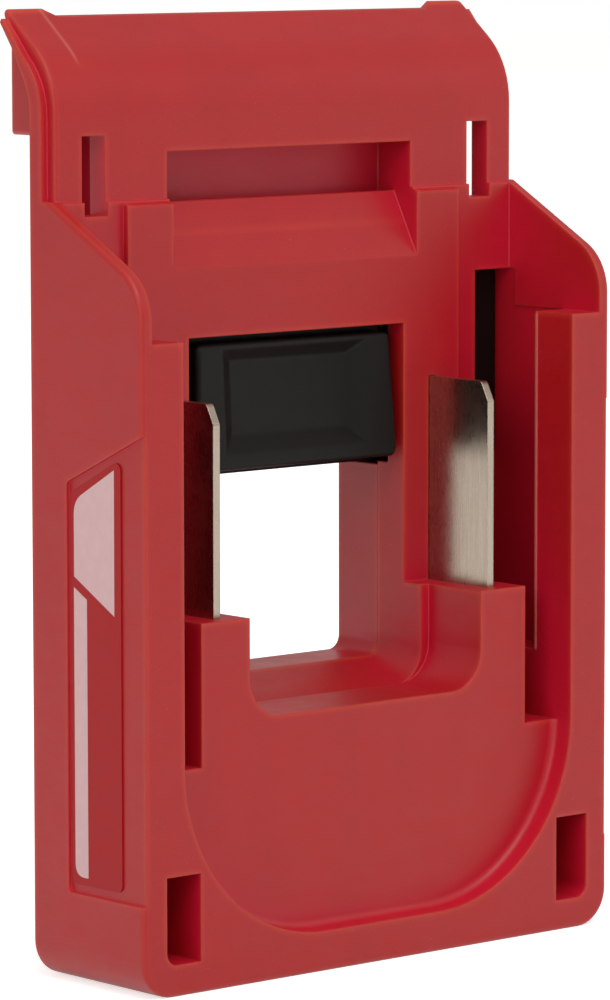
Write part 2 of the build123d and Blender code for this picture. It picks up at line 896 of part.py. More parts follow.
def release_paddle():
    """Paddle that hangs from its pivot, with the thumb dish in front and the nub behind."""
    flange_half = paddle_flange_width / 2
    flange_depth = (paddle_flange_face, paddle_back)
    flange = block((-flange_half, flange_half), flange_depth, (paddle_lip_bottom, paddle_rear_top))
    low = paddle_rear_top - paddle_wall
    neck = block(
        (-barrel_width / 2, barrel_width / 2),
        (paddle_neck_face, paddle_neck_face + paddle_neck_thickness),
        (low, pivot_height),
    )
    rib_half = paddle_rib_width / 2
    rib_places = (rib_half - barrel_width / 2, 0, barrel_width / 2 - rib_half)
    rib_depth = (paddle_neck_face, pivot_depth + paddle_rib_reach)
    ribs = [block((x - rib_half, x + rib_half), rib_depth, (low, pivot_height)) for x in rib_places]
    turn = Pos(0, pivot_depth, pivot_height) * Rot(0, 90, 0)
    barrel = turn * Cylinder(barrel_radius, barrel_width)
    body = paddle_button() + flange + neck + ribs + barrel
    for core in paddle_cores():
        body -= core
    body -= turn * Cylinder(pivot_radius + running, barrel_width + overrun)
    leg = spring_start()
    body -= side_pair(
        (leg - spring_notch_width / 2, leg + spring_notch_width / 2),
        (pivot_depth + coil_radius - wire / 2 - running, seat_depth),
        (spring_notch_low, paddle_rear_top + overrun),
    )
    return body - paddle_dish()


def pivot_pin():
    """Plain pin with ground ends."""
    turn = Pos(0, pivot_depth, pivot_height) * Rot(0, 90, 0)
    return turn * Cylinder(pivot_radius, pin_length)


def spring_start():
    """Width at which the first leg of the right spring leaves its coil."""
    return barrel_width / 2 + spring_gap + wire / 2


def spring_path():
    """Half turns that rise in turn on either side, with a straight leg at each end."""
    rise = coil_pitch / 2
    parts = [Line((coil_radius, -spring_leg_down, 0), (coil_radius, 0, 0))]
    for index in range(2 * coil_turns):
        side = coil_radius if index % 2 == 0 else -coil_radius
        level = index * rise
        parts.append(ThreePointArc((side, 0, level), (0, side, level + rise / 2), (-side, 0, level + rise)))
    top = 2 * coil_turns * rise
    parts.append(Line((coil_radius, 0, top), (coil_radius, spring_leg_up, top)))
    return Wire(parts)


def return_spring(side):
    """Torsion spring round the pivot pin, one leg in the paddle and one on the rest of the cover."""
    path = spring_path()
    section = Plane(origin=path @ 0, z_dir=path % 0) * RegularPolygon(wire / 2, wire_sides)
    frame = Plane(origin=(spring_start(), pivot_depth, pivot_height), x_dir=(0, 1, 0), z_dir=(1, 0, 0))
    spring = frame * sweep(section, path=path)
    return spring if side > 0 else mirror(spring, about=Plane.YZ)


def spring_clearance():
    """Least gap between the turns of a spring, measured on points of its path."""
    path = spring_path()
    count = 40 * coil_turns
    places = [path @ (index / count) for index in range(count + 1)]
    step = path.length / count
    apart = int(math.pi * coil_radius / step)
    gaps = [
        (places[a] - places[b]).length
        for a in range(count + 1)
        for b in range(a + apart, count + 1)
    ]
    return min(gaps) - wire


def rivet_hole(x, depth, height):
    """Cut for the shank of a rivet through sheet at the given width."""
    return Pos(x, depth, height) * Rot(0, 90, 0) * Cylinder(rivet_radius, 2 * overrun)


def blade(side):
    """Blade terminal: the exposed blade with its lead-in corner and the foot inside the post."""
    face = outline(
        (blade_foot_front, blade_foot),
        (block_face, blade_foot),
        (block_face, post_top),
        (block_face + blade_seat, post_top),
        (block_face + blade_seat, blade_top),
        (blade_front + blade_chamfer_depth, blade_top),
        (blade_front, blade_top - blade_chamfer_height),
        (blade_front, post_top - post_wall),
        (blade_foot_front, post_top - post_wall),
    )
    tips = ((blade_front + blade_chamfer_depth, blade_top), (blade_front, blade_top - blade_chamfer_height))
    face = fillet([face.vertices().sort_by_distance(tip)[0] for tip in tips], blade_corner)
    low = blade_middle - blade_thickness / 2
    solid = across(face, low, low + blade_thickness)
    solid -= rivet_hole(blade_middle, rivet_front_depth, rivet_low_height)
    return solid if side > 0 else mirror(solid, about=Plane.YZ)


def bus_strip(side):
    """Stamped strip from the foot of the blade back to the contact."""
    face = outline(
        (strip_front, blade_foot),
        (block_face, blade_foot),
        (block_face, strip_step),
        (strip_back, strip_step),
        (strip_back, strip_top),
        (strip_front, strip_top),
    )
    inner_corner = face.vertices().sort_by_distance((block_face, strip_step))[0]
    face = fillet(inner_corner, rivet_radius)
    low = blade_middle + blade_thickness / 2
    solid = across(face, low, low + strip_thickness)
    for depth, height in rivet_places():
        solid -= rivet_hole(low, depth, height)
    return solid if side > 0 else mirror(solid, about=Plane.YZ)


def rivet_places():
    """Depth and height of the rivet at the blade and of the one at the contact."""
    return (rivet_front_depth, rivet_low_height), (rivet_back_depth, rivet_high_height)


def rear_contact(side):
    """Fork contact: a folded sheet whose two leaves pinch the blade of the tool."""
    outer = blade_middle + blade_thickness / 2 + strip_thickness + fork_sheet / 2
    inner = 2 * blade_middle - outer
    pinch = fork_pinch_gap / 2 + fork_sheet / 2
    mouth = fork_mouth_gap / 2 + fork_sheet / 2
    leaves = [
        Polyline(
            (blade_middle - mouth, fork_mouth),
            (blade_middle - pinch, fork_pinch),
            (inner, fork_web - 2 * fork_sheet),
            (inner + fork_sheet, fork_web),
            (outer, fork_web),
        ),
        Polyline(
            (blade_middle + mouth, fork_mouth),
            (blade_middle + pinch, fork_pinch),
            (outer, fork_web - 2 * fork_sheet),
            (outer, strip_top),
        ),
    ]
    sheet = trace(leaves, fork_sheet)
    solid = deep(sheet, fork_front, fork_back)
    solid -= rivet_hole(outer, rivet_back_depth, rivet_high_height)
    return solid if side > 0 else mirror(solid, about=Plane.YZ)


def contact_rivets():
    """Rivets of both sides, each with its head on the outer side and its end flush with the inner."""
    blade_low = blade_middle - blade_thickness / 2
    strip_low = blade_middle + blade_thickness / 2
    strip_high = strip_low + strip_thickness
    spans = ((blade_low, strip_high), (strip_low, strip_high + fork_sheet))
    rivets = []
    for (depth, height), (low, high) in zip(rivet_places(), spans):
        turn = Rot(0, 90, 0)
        shank = Pos((low + high) / 2, depth, height) * turn * Cylinder(rivet_radius, high - low)
        middle = high + rivet_head_height / 2
        head = Pos(middle, depth, height) * turn * Cylinder(rivet_head_radius, rivet_head_height)
        rivet = shank + head
        rivets += [rivet, mirror(rivet, about=Plane.YZ)]
    return Compound(rivets)


def contact_shroud():
    """Insulating block with a bay for each contact."""
    half = shroud_width / 2
    body = block((-half, half), (shroud_front, seat_depth - roof_thickness), (shroud_bottom, shroud_top))
    bay = shroud_bay_width / 2
    body -= side_pair(
        (blade_middle - bay, half + overrun),
        (shroud_front - overrun, seat_depth),
        (shroud_bottom - overrun, shroud_top + overrun),
    )
    inner = blade_middle - bay - shroud_wall
    body -= block(
        (-inner, inner),
        (shroud_front - overrun, seat_depth - roof_thickness - shroud_wall),
        (shroud_bottom + shroud_wall, shroud_top - shroud_wall),
    )
    return body


def cover_screws():
    """Flat topped screws, two long ones below and two short ones above."""
    screws = []
    for x, z, front, seat in screw_places():
        top = seat + screw_head_height
        shank = rod(x, z, front + boss_skin + screw_tip_gap, seat, screw_core_radius)
        head = rod(x, z, seat, top, screw_head_radius)
        screws.append(shank + head)
    return Compound(screws)


def label_left():
    """Thin label on the left side, set in its recess."""
    panel = label_outline(label_front, label_back, label_bottom, label_low_top, label_high_top)
    panel = fillet(panel.vertices(), label_radius)
    inner = half_body - label_recess_depth
    return across(panel, -inner - label_thickness, -inner)


def publish(name, shape):
    """Writes a piece with the origin under the middle of the whole adapter."""
    placed = [Pos(0, -seat_depth / 2, 0) * solid for solid in shape.solids()]
    export_step(placed[0] if len(placed) == 1 else Compound(placed), f"parts/{name}.step")


os.makedirs("parts", exist_ok=True)
publish("front_housing", front_housing())
publish("rear_cover", rear_cover())
publish("latch_carrier", latch_carrier())
publish("release_paddle", release_paddle())
publish("pivot_pin", pivot_pin())
publish("contact_shroud", contact_shroud())
publish("contact_rivets", contact_rivets())
publish("cover_screws", cover_screws())
publish("label_left", label_left())
for name, side in (("left", -1), ("right", 1)):
    publish(f"return_spring_{name}", return_spring(side))
    publish(f"blade_{name}", blade(side))
    publish(f"bus_strip_{name}", bus_strip(side))
    publish(f"rear_contact_{name}", rear_contact(side))
print("least gap between spring turns", round(spring_clearance(), 3))
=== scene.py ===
"""Looks of a slide-in tool battery adapter, laid out as an add-on and run as a script."""
import math

import bmesh
import bpy
from bpy.props import FloatProperty, FloatVectorProperty, IntProperty, PointerProperty
from mathutils import Matrix, Vector


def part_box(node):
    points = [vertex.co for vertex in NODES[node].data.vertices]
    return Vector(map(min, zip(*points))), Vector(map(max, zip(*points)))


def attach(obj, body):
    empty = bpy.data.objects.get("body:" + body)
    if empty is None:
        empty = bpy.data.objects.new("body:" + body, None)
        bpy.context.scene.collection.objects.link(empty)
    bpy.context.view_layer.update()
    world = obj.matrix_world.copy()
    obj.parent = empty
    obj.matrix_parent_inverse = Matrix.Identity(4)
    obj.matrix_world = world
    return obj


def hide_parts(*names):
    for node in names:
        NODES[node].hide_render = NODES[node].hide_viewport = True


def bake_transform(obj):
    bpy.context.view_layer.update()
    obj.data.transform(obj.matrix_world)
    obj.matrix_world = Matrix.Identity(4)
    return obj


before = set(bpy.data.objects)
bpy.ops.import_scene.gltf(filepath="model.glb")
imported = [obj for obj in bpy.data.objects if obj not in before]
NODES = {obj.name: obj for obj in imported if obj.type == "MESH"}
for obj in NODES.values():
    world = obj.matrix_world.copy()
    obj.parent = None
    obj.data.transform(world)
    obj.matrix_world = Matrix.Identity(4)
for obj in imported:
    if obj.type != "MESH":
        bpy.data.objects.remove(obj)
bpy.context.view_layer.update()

bl_info = {
    "name": "Tool battery adapter",
    "version": (1, 0, 0),
    "blender": (4, 5, 0),
    "location": "View3D > Sidebar > Adapter",
    "description": "Finishes the pieces of a slide-in battery adapter and sets its stage",
    "category": "Object",
}

MM = 0.001
HOUSING_BODY = "housing"
POINTS_PER_TURN = 36
WHITE = (1, 1, 1, 1)

# Corners of the label's two fields: depth and height from its low front corner, and the length
# over which the corner is eased, in millimetres
FIELD_SHAPES = (
    ((1.2, 50.4, 0), (1.24, 33.0, 0), (8.8, 37.1, 0), (8.8, 46.2, 1.7)),
    ((6.4, 34.5, 0), (6.4, 0.9, 0), (8.85, 0.9, 1.7), (8.85, 35.8, 0)),
)

# Soft boxes of the stage, which point at the lit spot: name, place and width in metres, power in
# watts
SOFT_BOXES = (
    ("key", (-0.25, -0.8, 1.2), 0.9, 8.9),
    ("left", (-1.15, -0.62, 0.5), 0.8, 4.8),
    ("right", (1.1, -0.7, 0.5), 0.8, 1.6),
    ("top", (0.0, -0.3, 1.4), 0.8, 1.4),
)
LIT_SPOT = Vector((0, 0, 0.06))


# Sizes and colours

class HousingLook(bpy.types.PropertyGroup):
    colour: FloatVectorProperty(
        name="Colour", description="Colour of the red moulding", subtype="COLOR", size=3, min=0,
        max=1, default=(0.395, 0.004, 0.006),
    )
    # Painted light: this colour on edges and thin walls stands in for light coming through them and
    # for the highlight on rounded edges.
    painted_edge_light_colour: FloatVectorProperty(
        name="Edge colour", description="Colour where light comes through thin edges",
        subtype="COLOR", size=3, min=0, max=1, default=(0.60, 0.055, 0.022),
    )
    # Shared by the sparse dust and by the painted highlights on the flare and along the flange lips.
    dust_and_highlight_colour: FloatVectorProperty(
        name="Dust colour", description="Colour of the fine dust", subtype="COLOR", size=3, min=0,
        max=1, default=(0.60, 0.16, 0.13),
    )
    roughness: FloatProperty(
        name="Roughness", description="Gloss of the moulded skin", default=0.45, min=0, max=1
    )
    # Painted light: the deeper, brighter red between walls stands in for light bounced between them
    # and through the plastic.
    painted_bounce_colour: FloatVectorProperty(
        name="Cavity colour", description="Deep colour that the plastic takes between walls",
        subtype="COLOR", size=3, min=0, max=1, default=(0.80, 0.0, 0.070),
    )
    painted_bounce_share: FloatProperty(
        name="Cavity share", description="How much of the cavity colour shows", default=0.38, min=0,
        max=1,
    )
    painted_bounce_reach: FloatProperty(
        name="Cavity reach", description="Distance between walls that counts as a cavity",
        default=22 * MM, subtype="DISTANCE", unit="LENGTH",
    )
    # Where the painted highlight line on the flare lies.
    flare_highlight_side: FloatProperty(
        name="Witness side", description="Width at which the faint mould line of the flare lies",
        default=-31.85 * MM, subtype="DISTANCE", unit="LENGTH",
    )
    flare_highlight_low: FloatProperty(
        name="Witness low", description="Height where the mould line fades out", default=109.6 * MM,
        subtype="DISTANCE", unit="LENGTH",
    )
    flare_highlight_fade: FloatProperty(
        name="Witness fade", description="Height over which the mould line fades", default=1.6 * MM,
        subtype="DISTANCE", unit="LENGTH",
    )
    # Where the painted highlight along the lip of each flange lies.
    lip_side: FloatProperty(
        name="Lip side", description="Distance of the fine lip of each flange from the middle",
        default=31.55 * MM, subtype="DISTANCE", unit="LENGTH",
    )
    lip_depth: FloatProperty(
        name="Lip depth", description="Depth at which the fine lip of each flange lies",
        default=-7.62 * MM, subtype="DISTANCE", unit="LENGTH",
    )
    lip_low: FloatProperty(
        name="Lip low", description="Height of the lower end of the fine lips", default=35.0 * MM,
        subtype="DISTANCE", unit="LENGTH",
    )
    lip_high: FloatProperty(
        name="Lip high", description="Height of the upper end of the fine lips", default=78.0 * MM,
        subtype="DISTANCE", unit="LENGTH",
    )
    translucent_depth: FloatProperty(
        name="Translucent depth", description="How far from an edge light comes through",
        default=0.95 * MM, subtype="DISTANCE", unit="LENGTH",
    )
    grain: FloatProperty(
        name="Grain", description="Width of the moulded grain", default=0.22 * MM,
        subtype="DISTANCE", unit="LENGTH",
    )
    grain_depth: FloatProperty(
        name="Grain depth", description="Depth of the moulded grain", default=0.006 * MM,
        subtype="DISTANCE", unit="LENGTH",
    )
    edge_radius: FloatProperty(
        name="Edge radius", description="Rounding of the sharp edges", default=0.32 * MM,
        subtype="DISTANCE", unit="LENGTH",
    )


class BlackLook(bpy.types.PropertyGroup):
    colour: FloatVectorProperty(
        name="Colour", description="Colour of the black moulding", subtype="COLOR", size=3, min=0,
        max=1, default=(0.0038, 0.0032, 0.0030),
    )
    roughness: FloatProperty(
        name="Roughness", description="Gloss of the black moulding", default=0.43, min=0, max=1
    )
    sheen_level: FloatProperty(
        name="Specular level", description="Strength of the reflections", default=0.2, min=0, max=1
    )
    grain: FloatProperty(
        name="Grain", description="Width of the eroded grain", default=0.3 * MM, subtype="DISTANCE",
        unit="LENGTH",
    )
    grain_depth: FloatProperty(
        name="Grain depth", description="Depth of the eroded grain", default=0.02 * MM,
        subtype="DISTANCE", unit="LENGTH",
    )
    edge_radius: FloatProperty(
        name="Edge radius", description="Rounding of the sharp edges", default=0.8 * MM,
        subtype="DISTANCE", unit="LENGTH",
    )


class MetalLook(bpy.types.PropertyGroup):
    nickel: FloatVectorProperty(
        name="Nickel", description="Colour of the plated blades", subtype="COLOR", size=3, min=0,
        max=1, default=(0.42, 0.355, 0.29),
    )
    brass: FloatVectorProperty(
        name="Brass", description="Colour of the stamped strips", subtype="COLOR", size=3, min=0,
        max=1, default=(0.74, 0.54, 0.27),
    )
    steel: FloatVectorProperty(
        name="Steel", description="Colour of the pin, the screws and the springs", subtype="COLOR",
        size=3, min=0, max=1, default=(0.56, 0.57, 0.59),
    )


class LabelLook(bpy.types.PropertyGroup):
    ground: FloatVectorProperty(
        name="Ground", description="Colour of the printed ground", subtype="COLOR", size=3, min=0,
        max=1, default=(0.37, 0.007, 0.010),
    )
    field: FloatVectorProperty(
        name="Field", description="Colour of the bare fields", subtype="COLOR", size=3, min=0,
        max=1, default=(0.68, 0.45, 0.47),
    )
    field_height: FloatProperty(
        name="Field height", description="Thickness of the printed fields", default=0.012 * MM,
        subtype="DISTANCE", unit="LENGTH",
    )


class SpringLook(bpy.types.PropertyGroup):
    wire: FloatProperty(
        name="Wire", description="Diameter of the spring wire", default=0.6 * MM,
        subtype="DISTANCE", unit="LENGTH",
    )
    coil_radius: FloatProperty(
        name="Coil radius", description="Radius at the middle of the wire", default=1.95 * MM,
        subtype="DISTANCE", unit="LENGTH",
    )
    pitch: FloatProperty(
        name="Pitch", description="Advance of each turn", default=1.1 * MM, subtype="DISTANCE",
        unit="LENGTH",
    )
    turns: IntProperty(name="Turns", description="Turns of each spring", default=3, min=1)
    leg_up: FloatProperty(
        name="Leg up", description="Length of the leg on the cover", default=4.4 * MM,
        subtype="DISTANCE", unit="LENGTH",
    )
    leg_down: FloatProperty(
        name="Leg down", description="Length of the leg in the paddle", default=10.2 * MM,
        subtype="DISTANCE", unit="LENGTH",
    )


class ScrewLook(bpy.types.PropertyGroup):
    head_height: FloatProperty(
        name="Head height", description="Height of the pan head", default=1.7 * MM,
        subtype="DISTANCE", unit="LENGTH",
    )
    shank_radius: FloatProperty(
        name="Shank radius", description="Radius of the shank", default=1.15 * MM,
        subtype="DISTANCE", unit="LENGTH",
    )
    socket_radius: FloatProperty(
        name="Socket radius", description="Radius at the points of the star socket",
        default=1.25 * MM, subtype="DISTANCE", unit="LENGTH",
    )
    socket_depth: FloatProperty(
        name="Socket depth", description="Depth of the star socket", default=1.0 * MM,
        subtype="DISTANCE", unit="LENGTH",
    )


class StageLook(bpy.types.PropertyGroup):
    lens: FloatProperty(
        name="Lens", description="Focal length of the camera in millimetres", default=193.5
    )
    camera_place: FloatVectorProperty(
        name="Camera place", description="Where the camera stands", subtype="TRANSLATION",
        unit="LENGTH", default=(-0.433135, -0.498342, 0.130981),
    )
    yaw: FloatProperty(
        name="Yaw", description="Turn of the view to the right of the depth axis",
        default=math.radians(40.967), subtype="ANGLE", unit="ROTATION",
    )
    pitch: FloatProperty(
        name="Pitch", description="Tilt of the view below level", default=math.radians(6.496),
        subtype="ANGLE", unit="ROTATION",
    )
    roll: FloatProperty(
        name="Roll", description="Roll of the camera", default=math.radians(0.07), subtype="ANGLE",
        unit="ROTATION",
    )
    light_colour: FloatVectorProperty(
        name="Light colour", description="Colour of the soft studio light", subtype="COLOR", size=3,
        min=0, max=1, default=(1.0, 0.975, 0.93),
    )
    dark_side: FloatVectorProperty(
        name="Dark side", description="Direction in which the studio is unlit", subtype="DIRECTION",
        size=3, default=(-0.5, -0.86, 0.05),
    )
    dark_edge: FloatProperty(
        name="Dark edge",
        description="Cosine of the angle from the dark side at which the light starts to fade",
        default=0.62, min=-1, max=1,
    )
    dark_core: FloatProperty(
        name="Dark core",
        description="Cosine of the angle from the dark side at which the light is at its lowest",
        default=0.9, min=-1, max=1,
    )
    world_level: FloatProperty(
        name="World level", description="Strength of the light from all round", default=0.56, min=0
    )
    dark_level: FloatProperty(
        name="Dark level", description="Strength of the light from the unlit side", default=0.04,
        min=0,
    )
    floor_size: FloatProperty(
        name="Floor size", description="Width of the floor", default=6.0, subtype="DISTANCE",
        unit="LENGTH",
    )
    floor_glow: FloatProperty(
        name="Floor glow", description="Lift of the floor for the camera and for reflections",
        default=0.6, min=0,
    )


class AdapterLook(bpy.types.PropertyGroup):
    housing: PointerProperty(type=HousingLook)
    black: PointerProperty(type=BlackLook)
    metal: PointerProperty(type=MetalLook)
    label: PointerProperty(type=LabelLook)
    spring: PointerProperty(type=SpringLook)
    screw: PointerProperty(type=ScrewLook)
    stage: PointerProperty(type=StageLook)


# Nodes

class Wiring:
    """Short hand for adding and linking the nodes of a tree."""

    def __init__(self, tree):
        self.tree = tree

    def add(self, kind, inputs=None, **settings):
        node = self.tree.nodes.new(kind)
        for key, value in settings.items():
            setattr(node, key, value)
        for key, value in (inputs or {}).items():
            self.feed(node.inputs[key], value)
        return node

    def feed(self, socket, value):
        if isinstance(value, bpy.types.NodeSocket):
            self.tree.links.new(value, socket)
        else:
            socket.default_value = value

    def math(self, operation, a, b=0.0):
        return self.add("ShaderNodeMath", {0: a, 1: b}, operation=operation).outputs[0]

    def span(self, value, low, high, to_low=0.0, to_high=1.0):
        """Maps low and high to two new values, and holds them outside."""
        node = self.add("ShaderNodeMapRange", {
            "Value": value, "From Min": low, "From Max": high, "To Min": to_low, "To Max": to_high,
        })
        return node.outputs["Result"]

    def either(self, choice, plain, chosen, output):
        """Feeds an output with one shader, or with another where choice is 1."""
        node = self.add("ShaderNodeMixShader", {0: choice, 1: plain, 2: chosen})
        self.feed(output, node.outputs[0])


# Materials

class Tree(Wiring):
    """Node tree of one material."""

    def __init__(self, name):
        self.material = bpy.data.materials.new(name)
        self.material.use_nodes = True
        super().__init__(self.material.node_tree)
        self.tree.nodes.clear()
        self.place = self.add("ShaderNodeTexCoord").outputs["Object"]
        self.output = self.add("ShaderNodeOutputMaterial")

    def noise(self, size, detail=3.0, roughness=0.5, stretch=(1, 1, 1)):
        """Noise whose features have a size in metres; stretch makes them longer along an axis."""
        scale = [1 / (size * s) for s in stretch]
        place = self.add("ShaderNodeMapping", {"Vector": self.place, "Scale": scale}).outputs[0]
        node = self.add("ShaderNodeTexNoise", {
            "Vector": place, "Scale": 1.0, "Detail": detail, "Roughness": roughness,
        })
        return node.outputs["Fac"]

    def near(self, value, centre, inner, outer, most=1.0):
        """Most within the inner distance of the centre, nothing beyond the outer one."""
        aside = self.math("ABSOLUTE", self.math("SUBTRACT", value, centre))
        return self.span(aside, inner, outer, most, 0.0)

    def open_share(self, reach, samples, inside=False):
        """Share of the directions, outside or inside, that the piece leaves open within reach."""
        node = self.add(
            "ShaderNodeAmbientOcclusion", {"Distance": reach},
            samples=samples, inside=inside, only_local=True,
        )
        return node.outputs["AO"]

    def mix(self, factor, a, b):
        node = self.add("ShaderNodeMix", data_type="RGBA")
        for name, value in (("Factor", factor), ("A", a), ("B", b)):
            self.feed(node.inputs[name], value)
        return node.outputs["Result"]

    def bump(self, height, distance, strength=1.0, normal=None):
        node = self.add("ShaderNodeBump", {
            "Height": height, "Distance": distance, "Strength": strength,
        })
        if normal is not None:
            self.feed(node.inputs["Normal"], normal)
        return node.outputs["Normal"]

    def edges(self, radius):
        """Normal of a rounded edge, and how far it turns from the flat one."""
        soft = self.add("ShaderNodeBevel", {"Radius": radius}, samples=6).outputs["Normal"]
        flat = self.add("ShaderNodeNewGeometry").outputs["Normal"]
        along = self.add("ShaderNodeVectorMath", {0: soft, 1: flat}, operation="DOT_PRODUCT")
        return soft, self.math("SUBTRACT", 1.0, along.outputs["Value"])

    def shade(self, **inputs):
        shader = self.add("ShaderNodeBsdfPrincipled")
        for key, value in inputs.items():
            self.feed(shader.inputs[key.replace("_", " ")], value)
        self.feed(self.output.inputs["Surface"], shader.outputs[0])
        return self.material


def rgba(colour, scale=1.0):
    return (*[min(1.0, c * scale) for c in colour], 1.0)


def painted_crease_highlights(t, look):
    """Painted highlights where the mould halves meet: a faint line on the flare, and a lighter line
    along the lip of each flange.
    """
    spot = t.add("ShaderNodeSeparateXYZ", {"Vector": t.place}).outputs
    flare = t.math(
        "MULTIPLY", t.near(spot["X"], look.flare_highlight_side, 0.0, 0.42 * MM, 0.42),
        t.span(spot["Z"], look.flare_highlight_low, look.flare_highlight_low + look.flare_highlight_fade),
    )
    lip = t.math(
        "MULTIPLY", t.near(t.math("ABSOLUTE", spot["X"]), look.lip_side, 0.15 * MM, 0.2 * MM, 0.5),
        t.near(spot["Y"], look.lip_depth, 0.2 * MM, 0.3 * MM),
    )
    centre = (look.lip_low + look.lip_high) / 2
    half = (look.lip_high - look.lip_low) / 2
    lip = t.math("MULTIPLY", lip, t.near(spot["Z"], centre, half - 0.2 * MM, half + 0.2 * MM))
    return t.math("MAXIMUM", flare, lip)


def red_moulding(name, look, scale=1.0, gloss=0.0):
    """Red moulded plastic: flow marks, fine grain, painted light where thin edges let light through
    and a painted highlight on rounded edges, painted bounced light that turns the red deeper between
    walls, painted highlights on the flare and along the flange lips, and sparse dust."""
    t = Tree(name)
    soft, turned = t.edges(look.edge_radius)
    flow = t.noise(13 * MM, 4.0, 0.55, (1, 1, 2.2))
    cloud = t.noise(3.0 * MM, 4.0, 0.6)
    speck = t.noise(0.32 * MM, 2.0, 0.5)
    dark, light = (rgba(look.colour, share * scale) for share in (0.93, 1.05))
    colour = t.mix(t.span(flow, 0.3, 0.7), dark, light)
    colour = t.mix(t.span(cloud, 0.3, 0.75, 0.0, 0.35), colour, rgba(look.colour, 1.13 * scale))
    colour = t.mix(t.span(speck, 0.35, 0.65, 0.22, 0.0), colour, rgba(look.colour, 0.8 * scale))
    # Painted light: thin walls and rounded edges take a lighter orange that stands in for light
    # coming through them and the highlight along the edge.
    thin = t.span(t.open_share(look.translucent_depth, 8, inside=True), 0.95, 0.3, 0.0, 0.7)
    glow = t.math("MAXIMUM", t.math("MULTIPLY", t.span(turned, 0.02, 0.25), 0.6), thin)
    glow = t.math("MULTIPLY", glow, t.span(cloud, 0.25, 0.7, 0.7, 1.0))
    colour = t.mix(glow, colour, rgba(look.painted_edge_light_colour, scale))
    # Painted light: where walls stand close round a spot, the colour turns towards a deeper,
    # brighter red that stands in for bounced light; the deepest spots get less of it.
    around = t.open_share(look.painted_bounce_reach, 6)
    between_walls = t.span(around, 0.5, 0.85, look.painted_bounce_share, 0.0)
    not_too_deep = t.span(around, 0.15, 0.45, 0.35, 1.0)
    painted_bounce_mask = t.math("MULTIPLY", not_too_deep, between_walls)
    colour = t.mix(painted_bounce_mask, colour, rgba(look.painted_bounce_colour, scale))
    # Painted highlights on the flare and along the flange lips.
    colour = t.mix(painted_crease_highlights(t, look), colour, rgba(look.dust_and_highlight_colour, scale))
    dust = t.noise(0.21 * MM, 1.0, 0.4)
    colour = t.mix(t.span(dust, 0.745, 0.80, 0.0, 0.45), colour, rgba(look.dust_and_highlight_colour, scale))
    grain = t.noise(look.grain, 2.0, 0.6)
    scuffs = t.noise(5 * MM, 5.0, 0.7, (1, 1, 0.35))
    level = t.math("ADD", t.math("MULTIPLY", scuffs, 0.7), t.math("MULTIPLY", cloud, 0.3))
    base = look.roughness - gloss
    rough = t.span(level, 0.3, 0.7, base - 0.06, base + 0.07)
    sink = t.bump(flow, 0.05 * MM, 0.35, soft)
    normal = t.bump(grain, look.grain_depth, 0.9, sink)
    return t.shade(Base_Color=colour, Roughness=rough, Normal=normal, IOR=1.5)


def black_moulding(name, look, scale=1.0):
    """Black plastic with an eroded grain, and a painted highlight that lightens its rounded edges.
    """
    t = Tree(name)
    soft, turned = t.edges(look.edge_radius)
    grain = t.noise(look.grain, 3.0, 0.65)
    cloud = t.noise(4 * MM, 4.0, 0.6)
    dark, light = (rgba(look.colour, share * scale) for share in (0.8, 1.3))
    colour = t.mix(t.span(grain, 0.3, 0.7), dark, light)
    # Painted highlight: the rounded edges are lighter.
    colour = t.mix(t.span(turned, 0.02, 0.3), colour, rgba(look.colour, 1.6 * scale))
    rough = t.span(cloud, 0.3, 0.7, look.roughness - 0.05, look.roughness + 0.07)
    normal = t.bump(grain, look.grain_depth, 0.8, soft)
    return t.shade(
        Base_Color=colour, Roughness=rough, Normal=normal, Specular_IOR_Level=look.sheen_level
    )


def rolled_metal(
    name, colour, rough, stretch=(1, 1, 1), streak_depth=0.001 * MM, edge_radius=0.1 * MM
):
    """Metal with fine streaks, longer along the stretched axis, and rounded edges with a painted
    highlight.
    """
    t = Tree(name)
    soft, turned = t.edges(edge_radius)
    streaks = t.noise(0.11 * MM, 3.0, 0.6, stretch)
    haze = t.noise(2.6 * MM, 4.0, 0.6)
    tint = t.mix(t.span(haze, 0.3, 0.7), rgba(colour, 0.9), rgba(colour, 1.06))
    tint = t.mix(t.span(streaks, 0.35, 0.7, 0.0, 0.5), tint, rgba(colour, 0.78))
    # Painted highlight: the rounded edges are brighter.
    tint = t.mix(t.span(turned, 0.05, 0.4), tint, rgba(colour, 1.22))
    level = t.math("ADD", t.math("MULTIPLY", streaks, 0.5), t.math("MULTIPLY", haze, 0.5))
    roughness = t.span(level, 0.3, 0.7, rough - 0.06, rough + 0.08)
    normal = t.bump(streaks, streak_depth, 0.6, soft)
    return t.shade(Base_Color=tint, Metallic=1.0, Roughness=roughness, Normal=normal)


def printed_film(name, colour):
    """Printed plastic film with a faint orange-peel surface."""
    t = Tree(name)
    peel = t.noise(0.5 * MM, 3.0, 0.5)
    ink = t.noise(1.6 * MM, 4.0, 0.6)
    tint = t.mix(t.span(ink, 0.3, 0.7), rgba(colour, 0.97), rgba(colour, 1.03))
    rough = t.span(ink, 0.3, 0.7, 0.36, 0.44)
    normal = t.bump(peel, 0.004 * MM, 0.7)
    return t.shade(Base_Color=tint, Roughness=rough, Normal=normal, Specular_IOR_Level=0.2)


def dress(node, material):
    """Gives a piece of the frame its material."""
    mesh = NODES[node].data
    mesh.materials.clear()
    mesh.materials.append(material)


def new_object(name, vertices, edges=(), faces=()):
    """New mesh object at the origin."""
    mesh = bpy.data.meshes.new(name)
    mesh.from_pydata(vertices, edges, faces)
    mesh.update()
    piece = bpy.data.objects.new(name, mesh)
    bpy.context.scene.collection.objects.link(piece)
    return piece


def middle(node):
    """Middle of the box of a piece of the frame."""
    return sum(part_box(node), Vector()) / 2


